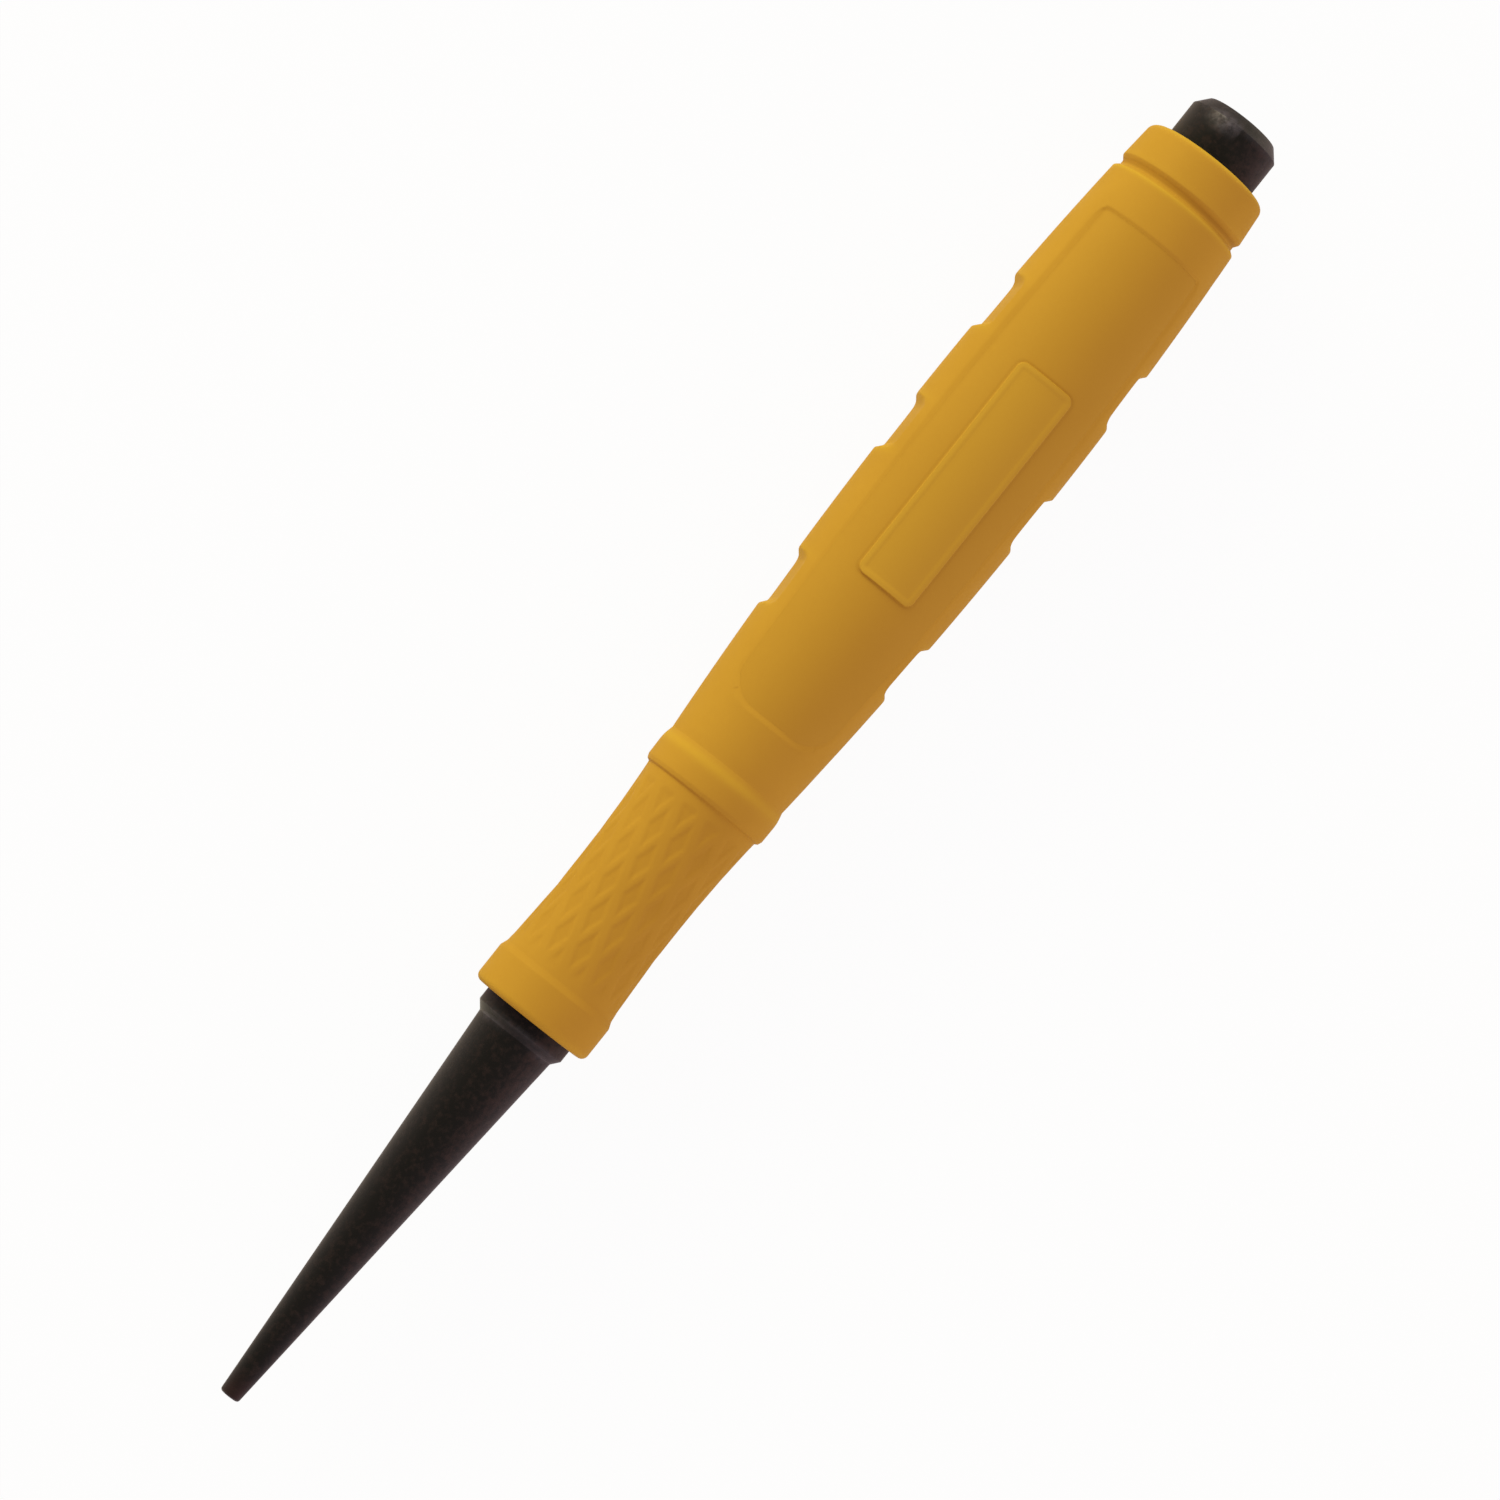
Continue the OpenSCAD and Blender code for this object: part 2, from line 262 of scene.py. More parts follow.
# Adds a node with its settings. An input's value is a number, a colour, or what feeds it: a socket, or
# a node by its first output.
def addNode(tree, kind, inputs=None, **settings):
    node = tree.nodes.new(kind)
    for name, value in settings.items():
        setattr(node, name, value)
    for key, value in (inputs or {}).items():
        if isinstance(value, bpy.types.Node):
            value = value.outputs[0]
        if isinstance(value, bpy.types.NodeSocket):
            tree.links.new(value, node.inputs[key])
        else:
            node.inputs[key].default_value = value
    return node


# Lays colours over each other, each by its own share, a number or what feeds it
def layColours(tree, below, *layers):
    for share, colour in layers:
        over = addNode(tree, "ShaderNodeMix", {"Factor": share, 6: below, 7: linearColour(colour)},
                       data_type="RGBA")
        below = over.outputs[2]
    return below


# An empty material, its node tree and the piece's own coordinates in metres
def newMaterial(name):
    material = bpy.data.materials.new(name)
    material.use_nodes = True
    material.node_tree.nodes.clear()
    tree = material.node_tree
    return material, tree, addNode(tree, "ShaderNodeTexCoord").outputs["Object"]


# How many of a pattern's features lie along a metre
def perMetre(millimetres):
    return 1000 / millimetres


# What every moulding of the grip has over its own colour: it is paler where it is worn and where a highlight
# is painted, and darker where shade is painted; its fine matte grain is a bump, and its roughness follows the
# clouds of colour
def finishMoulding(tree, where, clouds, body, wearAndHighlightShare, look):
    paintedShade = addNode(tree, "ShaderNodeAttribute", attribute_name="paintedShade")
    colour = layColours(tree, body, (wearAndHighlightShare, look["wearAndHighlightColour"]), (paintedShade.outputs["Fac"], look["shadeColour"]))
    grain = addNode(tree, "ShaderNodeTexNoise",
                    {"Vector": where, "Scale": perMetre(look["grain"]), "Detail": look["grainDetail"],
                     "Roughness": look["grainRough"]})
    shine = addNode(tree, "ShaderNodeMapRange",
                    {"Value": clouds, "From Min": 0.3, "From Max": 0.7,
                     "To Min": look["roughness"][0], "To Max": look["roughness"][1]})
    bump = addNode(tree, "ShaderNodeBump",
                   {"Height": grain, "Distance": look["grainDeep"] / 1000, "Strength": 1.0})
    shader = addNode(tree, "ShaderNodeBsdfPrincipled",
                     {"Base Color": colour, "Roughness": shine, "Normal": bump, "IOR": 1.5,
                      "Specular IOR Level": look["specular"]})
    addNode(tree, "ShaderNodeOutputMaterial", {"Surface": shader})


sleeveLook = dict(
    yellow="#CC9A36",  # the rubber itself
    warm="#C89635",  # where the colour batch is a little redder
    wearAndHighlightColour="#DCB038",  # paler where it is handled, and the colour of the painted highlights
    shadeColour="#A87423",  # painted shade in the hollows, the creases and along the panels' edges
    cloud=9.0,  # mm across the soft clouds of colour
    cloudRange=(0.35, 0.65),  # the part of the noise that makes a cloud, from none to all
    wearAndHighlightLeast=0.5,  # the share of the pale colour where the wear and the painted highlights are thinnest
    grain=0.35,  # mm between the pits of the mould's matte grain
    grainDeep=0.012,  # mm
    grainDetail=2.0, grainRough=0.6,
    roughness=(0.62, 0.74),  # at its smoothest and its roughest
    specular=0.06,  # so matte that it mirrors next to nothing
)


# Soft moulded rubber: an even, slightly cloudy yellow with a fine matte grain, which spreads its
# highlight so wide that only the shading shows the form.
def mouldedSoftRubber(look=sleeveLook):
    material, tree, where = newMaterial("mouldedSoftRubber")
    cloudFrom, cloudTo = look["cloudRange"]
    clouds = addNode(tree, "ShaderNodeTexNoise",
                     {"Vector": where, "Scale": perMetre(look["cloud"]), "Detail": 3.0, "Roughness": 0.55})
    cloudShare = addNode(tree, "ShaderNodeMapRange",
                         {"Value": clouds, "From Min": cloudFrom, "From Max": cloudTo})
    body = layColours(tree, linearColour(look["yellow"]), (cloudShare, look["warm"]))
    # Paler where it is worn and where a highlight is painted, in patches
    wearAndHighlight = addNode(tree, "ShaderNodeAttribute", attribute_name="wearAndHighlight")
    patches = addNode(tree, "ShaderNodeMapRange",
                      {"Value": clouds, "From Min": cloudFrom, "From Max": cloudTo,
                       "To Min": look["wearAndHighlightLeast"]})
    wearAndHighlightShare = addNode(tree, "ShaderNodeMath", {0: wearAndHighlight.outputs["Fac"], 1: patches}, operation="MULTIPLY")
    finishMoulding(tree, where, clouds, body, wearAndHighlightShare, look)
    return material


coreLook = dict(
    yellow="#CA9935",  # the plastic itself
    warm="#C69534",
    wearAndHighlightColour="#D3A539",  # paler on the plate's lip, which is handled most
    shadeColour="#9F6D22",  # painted shadow against the plate and painted shade along the panel's edge
    cloud=14.0,  # mm
    grain=0.22,  # mm, finer than the rubber's
    grainDeep=0.006,  # mm
    grainDetail=1.0, grainRough=0.5,
    roughness=(0.55, 0.66),
    specular=0.06,
)


# Rigid moulded plastic: nearly the rubber's yellow, a little flatter in colour and finer in grain.
def mouldedPlastic(look=coreLook):
    material, tree, where = newMaterial("mouldedPlastic")
    clouds = addNode(tree, "ShaderNodeTexNoise",
                     {"Vector": where, "Scale": perMetre(look["cloud"]), "Detail": 4.0, "Roughness": 0.6})
    body = layColours(tree, linearColour(look["yellow"]), (clouds, look["warm"]))
    wearAndHighlight = addNode(tree, "ShaderNodeAttribute", attribute_name="wearAndHighlight")
    finishMoulding(tree, where, clouds, body, wearAndHighlight.outputs["Fac"], look)
    return material


punchLook = dict(
    black="#050504",  # the oxide, oiled
    brown="#33201A",  # where the oxide is thin and rusts a little
    warmSideShare=0.26,  # painted warm light: how much more brown there is on the -Y side
    warmSideFrom=(-4.0, -0.5),  # mm across, from where it is warmest to where it ends
    tempered="#2E1512",  # the tip, drawn to a red-brown
    temperedEnd=3.2,  # mm from the point
    temperedMost=0.7,  # its share at the point
    bare="#8C7F86",  # steel that shows where an edge is rubbed, and the painted highlight at the sides of the cone's end
    bareLeast=0.3,  # how pale the rubbed places and the painted highlight are between their brightest patches
    mottle=0.6,  # mm across the blotches
    patch=0.66,  # mm across the bare patches and the pits
    pitDeep=0.006,  # mm
    turning=0.30,  # mm for a radian of the wave left by grinding, which is 1.9 mm from mark to mark
    turningDeep=0.0015,  # mm
    bloom=0.35,  # dried oil and dust, which greys the sides
    bloomRough=0.55,  # and spreads the light widely
    bloomTint="#FFF6FB",  # nearly white
    edgeTint="#8A8380",  # the oxide mirrors less than bare steel at its edges
    roughness=(0.42, 0.6),  # at its smoothest and its roughest
)


# Black oxide on ground steel: a dark satin metal, mottled brown, browner on its -Y side where warm light is
# painted, with bare edges, a painted highlight at the sides of the cone's end, and faint rings left by
# grinding, so that it is dark in front and greyer towards its sides.
def blackOxideSteel(look=punchLook):
    material, tree, where = newMaterial("blackOxideSteel")
    mottle = addNode(tree, "ShaderNodeTexNoise",
                     {"Vector": where, "Scale": perMetre(look["mottle"]), "Detail": 5.0, "Roughness": 0.62})
    # Painted warm light: more brown towards the -Y side, added to the mottle before it makes blotches
    split = addNode(tree, "ShaderNodeSeparateXYZ", {"Vector": where})
    warmFull, warmNone = look["warmSideFrom"]
    warmSide = addNode(tree, "ShaderNodeMapRange",
                   {"Value": split.outputs["Y"], "From Min": warmFull / 1000, "From Max": warmNone / 1000,
                    "To Min": look["warmSideShare"], "To Max": 0.0})
    blotchAndWarmSide = addNode(tree, "ShaderNodeMath", {0: mottle, 1: warmSide}, operation="ADD")
    blotch = addNode(tree, "ShaderNodeMapRange", {"Value": blotchAndWarmSide, "From Min": 0.48, "From Max": 1.0})
    nearTip = addNode(tree, "ShaderNodeMapRange",
                      {"Value": split.outputs["X"], "From Min": tipX / 1000,
                       "From Max": (tipX + look["temperedEnd"]) / 1000,
                       "To Min": look["temperedMost"], "To Max": 0.0})
    # Bare steel at rubbed edges, and the painted highlight at the sides of the cone's end, in patches
    wearAndHighlight = addNode(tree, "ShaderNodeAttribute", attribute_name="wearAndHighlight")
    patchy = addNode(tree, "ShaderNodeTexNoise",
                     {"Vector": where, "Scale": perMetre(look["patch"]), "Detail": 4.0, "Roughness": 0.65})
    patch = addNode(tree, "ShaderNodeMapRange",
                    {"Value": patchy, "From Min": 0.36, "From Max": 0.7, "To Min": look["bareLeast"]})
    bareAndHighlightShare = addNode(tree, "ShaderNodeMath", {0: wearAndHighlight.outputs["Fac"], 1: patch}, operation="MULTIPLY")
    colour = layColours(tree, linearColour(look["black"]), (blotch, look["brown"]),
                        (nearTip, look["tempered"]), (bareAndHighlightShare, look["bare"]))
    shine = addNode(tree, "ShaderNodeMapRange",
                    {"Value": mottle, "From Min": 0.3, "From Max": 0.7,
                     "To Min": look["roughness"][0], "To Max": look["roughness"][1]})
    radiansAUnit = 20  # the wave node's own
    rings = addNode(tree, "ShaderNodeTexWave",
                    {"Vector": where, "Scale": perMetre(look["turning"]) / radiansAUnit, "Distortion": 1.2,
                     "Detail": 2.0, "Detail Scale": 3.0}, bands_direction="X")
    turned = addNode(tree, "ShaderNodeBump",
                     {"Height": rings.outputs["Fac"], "Distance": look["turningDeep"] / 1000, "Strength": 1.0})
    pitted = addNode(tree, "ShaderNodeBump",
                     {"Height": patchy, "Distance": look["pitDeep"] / 1000, "Strength": 1.0,
                      "Normal": turned})
    shader = addNode(tree, "ShaderNodeBsdfPrincipled",
                     {"Base Color": colour, "Roughness": shine, "Metallic": 1.0, "Normal": pitted,
                      "Specular Tint": linearColour(look["edgeTint"]), "Sheen Weight": look["bloom"],
                      "Sheen Roughness": look["bloomRough"], "Sheen Tint": linearColour(look["bloomTint"])})
    addNode(tree, "ShaderNodeOutputMaterial", {"Surface": shader})
    return material


# The steel punch

punchSize = dict(
    tipWide=2.0, tipOver=0.02,  # across the point, and how far outside it the cone's line ends
    tipRound=0.3, cupWide=0.88, cupDeep=0.2, cupRound=0.06,
    coneLong=42.0, coneWide=8.2, shoulderLong=0.8, barWide=9.5,
    chamferLong=1.2, faceWide=7.5, edgeRound=0.15,
    keyWide=2.4, keyDeep=0.4, innerKeys=(85.56, 128.54), flatStart=98.05, flatEnd=116.05,
    around=192, longest=0.6,  # points round it, and the longest step along it
    # Rubbed edges, and a painted highlight at the sides of the cone's end: how much, how far beyond the edge,
    # and how wide
    coneSideHighlight=(0.5, 0.05, 0.1), shoulderWear=(0.08, 0, 0.12), chamferWear=(0.09, 0, 0.16),
    faceWear=(0.1, 0, 0.1), tipWear=(0.12, 0, 0.15),
    # The bright patch by the face: how much, its angle and spread, and its place from the face and length
    headPatch=0.44, headPatchTurn=(336, 19), headPatchPlace=(-1.5, 0.8),
)


# The radius where the two flats cut it, between their ends: no more than a flat's distance over the
# sine of the angle
def cutByFlats(station, radius, angle, distance, size=punchSize):
    inFlat = (station > size["flatStart"]) & (station < size["flatEnd"])
    flatR = distance / np.maximum(np.abs(np.sin(np.radians(angle))), 0.1)
    return np.where(inFlat, np.minimum(radius, flatR), radius)


# A profile turned about the axis, with two flats on its hidden part
def makePunch(size=punchSize):
    barR = size["barWide"] / 2
    shoulderEnd = size["coneLong"] + size["shoulderLong"]
    chamferStart = overallLong - size["chamferLong"]
    edge, keyDeep = size["edgeRound"], size["keyDeep"]
    keyR = barR - keyDeep
    half = size["keyWide"] / 2
    tip = [(size["cupDeep"], 0, 0), (0, size["cupWide"] / 2, size["cupRound"]),
           (0, size["tipWide"] / 2 + size["tipOver"], size["tipRound"])]
    cone = [(size["coneLong"], size["coneWide"] / 2, edge), (shoulderEnd, barR, edge)]
    keys = []
    for middle in (gripStart + half,) + size["innerKeys"] + (gripEnd - half,):
        keys += [(middle - half, barR, 0), (middle - half + keyDeep, keyR, 0),
                 (middle + half - keyDeep, keyR, 0), (middle + half, barR, 0)]
    head = [(chamferStart, barR, edge), (overallLong, size["faceWide"] / 2, edge), (overallLong, 0, 0)]
    path = filletPath(tip + cone + keys + head, size["longest"])
    angles = np.arange(size["around"]) * 360 / size["around"]
    station, angle = np.meshgrid(path[:, 0], angles, indexing="ij")
    radius = np.repeat(path[:, 1:], len(angles), axis=1)
    radius = cutByFlats(station, radius, angle, keyR)

    # A highlight is painted on the two sides of the cone's end, and the other edges are rubbed all round
    wearAndHighlight = alongEdge(station, size["coneLong"], *size["coneSideHighlight"]) * np.sin(np.radians(angle)) ** 2
    for edgeAt, wear in ((shoulderEnd, "shoulderWear"), (chamferStart, "chamferWear"),
                         (overallLong, "faceWear"), (0, "tipWear")):
        wearAndHighlight += alongEdge(station, edgeAt, *size[wear])
    fromFace, headPatchLong = size["headPatchPlace"]
    headPatchShape = bell(angle, *size["headPatchTurn"]) * bell(station, overallLong + fromFace, headPatchLong)
    wearAndHighlight += size["headPatch"] * headPatchShape
    shell = newShell()
    ids = addGrid(shell, station, radius, angle, np.clip(wearAndHighlight, 0, 1), 0.0)
    addQuads(shell, closedRound(ids))
    return finishPiece(shell, "steelPunch", blackOxideSteel(), "punch")


# The grip's common form

gripSize = dict(
    ringEnd=73.4, crownLow=6.45,  # where the crowned body starts, and its radius there
    belly=111.52, crownTop=8.0,  # where it is thickest
    grooveAt=140.4, crownHigh=6.925,  # where its curve ends, in the groove
    windowLow=79.05, windowHigh=135.2,  # the ends of the panels
    windowTurn=50.1,  # degrees from their middle to a long side
    lowRound=2.9, highRound=0.42,  # their corners
    cornerKeep=2.4,  # how far outside a corner the grid is bent with it
    coreStart=77.2, coreEnd=136.9, coreR=5.9,
    panelSink=0.15,  # the solid has it a little deeper, and square
    sinkLoss=0.05,  # how much shallower it is at the upper end
    sideLow=0.15, sideHigh=1.6,  # the sink at the long sides over that in the middle, at each end
    sideFrom=84.0,  # where it starts to grow from the one to the other
    cornerMore=0.45, cornerLong=5.0,  # how much more it is round the lower corners, and how far up
)


# The crowned body's radius, bowed from the ring to the belly and on to the groove
def crown(station):
    g = gripSize
    return bowed(station, (g["ringEnd"], g["crownLow"]), (g["belly"], g["crownTop"]),
                 (g["grooveAt"], g["crownHigh"]))


# Grows from zero near a panel's lower end to one at its upper edge
def towardsHead(station):
    g = gripSize
    return ease((station - g["sideFrom"]) / (g["windowHigh"] - g["sideFrom"]))


# How far a panel is sunk at a station and at the sine of an angle from its middle. Towards the long
# sides it changes with the sixth power of the sine, to less near the ring and to more near the head.
def sinkAt(station, sine):
    g = gripSize
    share = np.clip(np.abs(sine) / math.sin(math.radians(g["windowTurn"])), 0, 1)
    side = (g["sideLow"] + (g["sideHigh"] - g["sideLow"]) * towardsHead(station)
            + g["cornerMore"] * (1 - ease((station - g["windowLow"]) / g["cornerLong"])))
    return (g["panelSink"] - g["sinkLoss"] * towardsHead(station)) * (1 - (1 - side) * share ** 6)


# How far across a panel's long side lies: the sunk radius times the sine of its angle
def sideAcross(station):
    sine = math.sin(math.radians(gripSize["windowTurn"]))
    return (crown(station) - sinkAt(station, sine)) * sine


# The painted shade along a panel's edge
panelShade = dict(
    along=0.16,  # along the whole edge, at the head's end
    upperEdge=(0.12, 0.05, 0.3),  # more on the upper edge: how much, how far beyond it, how wide
    halfway=0.5, oneSide=0.65,  # its share in the middle, and how that grows towards one side
)


# How much shade is painted along a panel's edge, from how far sideways it is. The darker side is +Y on the
# front panel and -Y on the back one.
def edgeShade(station, sideways, edgeShading=panelShade):
    atUpper = alongEdge(station, gripSize["windowHigh"], *edgeShading["upperEdge"])
    return (edgeShading["along"] * towardsHead(station) + atUpper) * np.clip(
        edgeShading["halfway"] - edgeShading["oneSide"] * sideways, 0, 1)


# The sine of the angle at which a panel's surface is so far across. The distance across is the sunk
# radius times the sine, which is turned round in a few steps.
def sineAt(station, across):
    sine = across / crown(station)
    for step in range(4):
        sine = across / (crown(station) - sinkAt(station, sine))
    return sine


# The soft sleeve

sleeveSize = dict(
    boreR=4.8, endR=4.95, endRound=0.94,  # the bore, where an end face starts, and its outer edge
    collarR=6.35, collarEnd=47.9, collarRound=0.35,
    stepEnd=48.6, stepRound=0.9, neckLowR=6.1,
    waist=58.27, waistR=5.7, neckEnd=69.7, neckHighR=6.2,
    neckInset=0.9, neckStep=0.16,  # how far inside its ends the neck's own rows are, and their step
    ringStart=69.68, ringMiddle=72.35, ringR=6.69, ringRound=6.0,
    # Corners of the ring's foot: how far beyond the ring's start, radius and fillet
    ringFoot=((-0.1, 6.2, 0.06), (0.06, 6.49, 0.12), (0.45, 6.65, 0.5)),
    crownRound=0.2,  # between the ring and the crowned body
    grooveEdge=139.58, grooveEdgeRound=0.16,
    floorStart=139.98, floorEnd=140.5, grooveFloorR=6.5, floorRound=0.14,
    capStart=140.98, capR=6.85, capRound=0.22, capEndR=6.5,
    recessMiddles=(90.485, 108.441, 122.846), recessDeep=0.9, recessFlat=2.3, recessSlope=0.95,
    recessFade=1.3, fadeFrom=0.885, fadeOver=0.1,  # below these sines its ends run out more gently
    recessFollow=0.9,  # how far a flat follows the crown's own curve
    recessReach=5.0, recessEase=0.32, recessEdge=0.05,  # how far each way it may cut, and its soft edges
    edgeSlope=0.4,  # the soft step down to the panels
    lowMore=0.24, lowLong=4.0,  # how much wider it is at their lower edge, and how far up
    sideMore=0.35, sideFrom=98.0, sideLong=20.0,  # and at their long sides, from there on
    netMiddle=58.59, netStep=3.2, netRows=3, netAround=14, netStart=-2.5, netLean=1.75,
    netFadeLow=(0.2, 2.2), netFadeHigh=(0.9, 0.9),  # how far inside each end it fades, and how long
    pocketLong=4.3, pocketWide=1.45, pocketDeep=0.105,
    pocketEdge=1.3, pocketEase=0.7,  # where a pocket starts, as a share of its half, and its soft edge
    neckAround=252, longest=0.3,  # points round the neck, and the longest step along a profile
    # Wear, painted highlights and painted shade: how much, how far beyond the edge, and how wide
    wearAll=0.06, ringHighlight=(0.8, -0.8, 0.5), collarHighlight=(0.5, 0.3, 0.4),
    recessHighlight=(0.7, 0.6, 0.6),
    grooveLipHighlight=(0.9, -0.08, 0.2), capWear=(0.12, 0.22, 0.3), capRimHighlight=(1.0, -0.1, 0.25), capRimHighlightR=5.6,
    pocketShade=0.08, ringFootShade=(0.04, -0.1, 0.1), stepShade=(0.05, 0, 0.25),
    grooveShade=(0.8, -0.14, 0.21),
    shadeWide=0.28, shadeMore=0.3,  # painted shade along the panels' edges, and how much wider it is at their long sides
    boreShade=0.5,
)


# Depth of the diamond net: a pocket is where its distance along over its half length, plus its distance
# round over its half width, is less than about one. It eases in from its edge, and fades at both ends.
def netDepth(station, angle, size=sleeveSize):
    pitch = 360 / size["netAround"]
    depth = np.zeros_like(station)
    for row in range(-size["netRows"], size["netRows"] + 1):
        middle = size["netMiddle"] + row * size["netStep"]
        turn = angle - size["netStart"] - size["netLean"] * row - row * pitch / 2
        turn = (turn + pitch / 2) % pitch - pitch / 2
        away = (np.abs(station - middle) * 2 / size["pocketLong"]
                + np.radians(np.abs(turn)) * size["waistR"] * 2 / size["pocketWide"])
        depth = np.maximum(depth, ease((size["pocketEdge"] - away) / size["pocketEase"]))
    (lowIn, lowLong), (highIn, highLong) = size["netFadeLow"], size["netFadeHigh"]
    fadeLow = ease((station - size["stepEnd"] - lowIn) / lowLong)
    fadeHigh = ease((size["ringStart"] - highIn - station) / highLong)
    return size["pocketDeep"] * depth * fadeLow * fadeHigh


# Moves a grid's lines so that the windows' corners are round in plan, and gives the depth inside
# the windows
def windowWarp(station, angle):
    g = gripSize
    depth = np.full(station.shape, -99.0)
    newStation, newAngle = station.copy(), angle.copy()
    edgeAcross = sideAcross(station)
    for middle in (0, 180):
        turn = (angle - middle + 180) % 360 - 180
        sine = np.sin(np.radians(np.minimum(np.abs(turn), 90)))
        inAcross = edgeAcross - (crown(station) - sinkAt(station, sine)) * sine
        for edge, sign, radius in ((g["windowLow"], 1, g["lowRound"]), (g["windowHigh"], -1, g["highRound"])):
            inAlong = sign * (station - edge)
            here = (inAlong < 20) & (np.abs(turn) < 85)  # near this end, and on this face
            movedAlong, movedAcross = roundCorner(inAlong, inAcross, radius, g["cornerKeep"])
            movedSine = np.clip(sineAt(edge + sign * movedAlong, edgeAcross - movedAcross), 0, 1)
            around = middle + np.sign(turn) * np.degrees(np.arcsin(movedSine))
            newStation = np.where(here, edge + sign * movedAlong, newStation)
            newAngle = np.where(here, angle + (around - angle + 180) % 360 - 180, newAngle)
        inTurn = (g["windowTurn"] - np.abs(turn)) * np.radians(crown(station))
        inside = np.minimum(np.minimum(station - g["windowLow"], g["windowHigh"] - station), inTurn)
        depth = np.maximum(depth, inside)
    return newStation, newAngle, depth


# Radius of the crowned body. A recess is a flat at the crown less its depth, rising at its ends along a
# slope, and the radius of a flat is its distance over the sine of the angle.
def bodyRadius(station, angle, size=sleeveSize):
    radius = crown(station)
    sideways = np.maximum(np.abs(np.sin(np.radians(angle))), 0.3)  # no flat reaches further in
    fade = 1 - ease((sideways - size["fadeFrom"]) / size["fadeOver"])
    slope = size["recessSlope"] * (1 + size["recessFade"] * fade)
    for middle in size["recessMiddles"]:
        away = np.abs(station - middle)
        rise = softRamp(away - size["recessFlat"], size["recessEase"]) * size["recessDeep"] / slope
        atMiddle = crown(np.array(middle))
        flat = atMiddle + (crown(station) - atMiddle) * size["recessFollow"]
        cut = (flat - size["recessDeep"] + rise) / sideways
        radius = np.where(away < size["recessReach"], softMin(radius, cut, size["recessEdge"]), radius)
    return radius


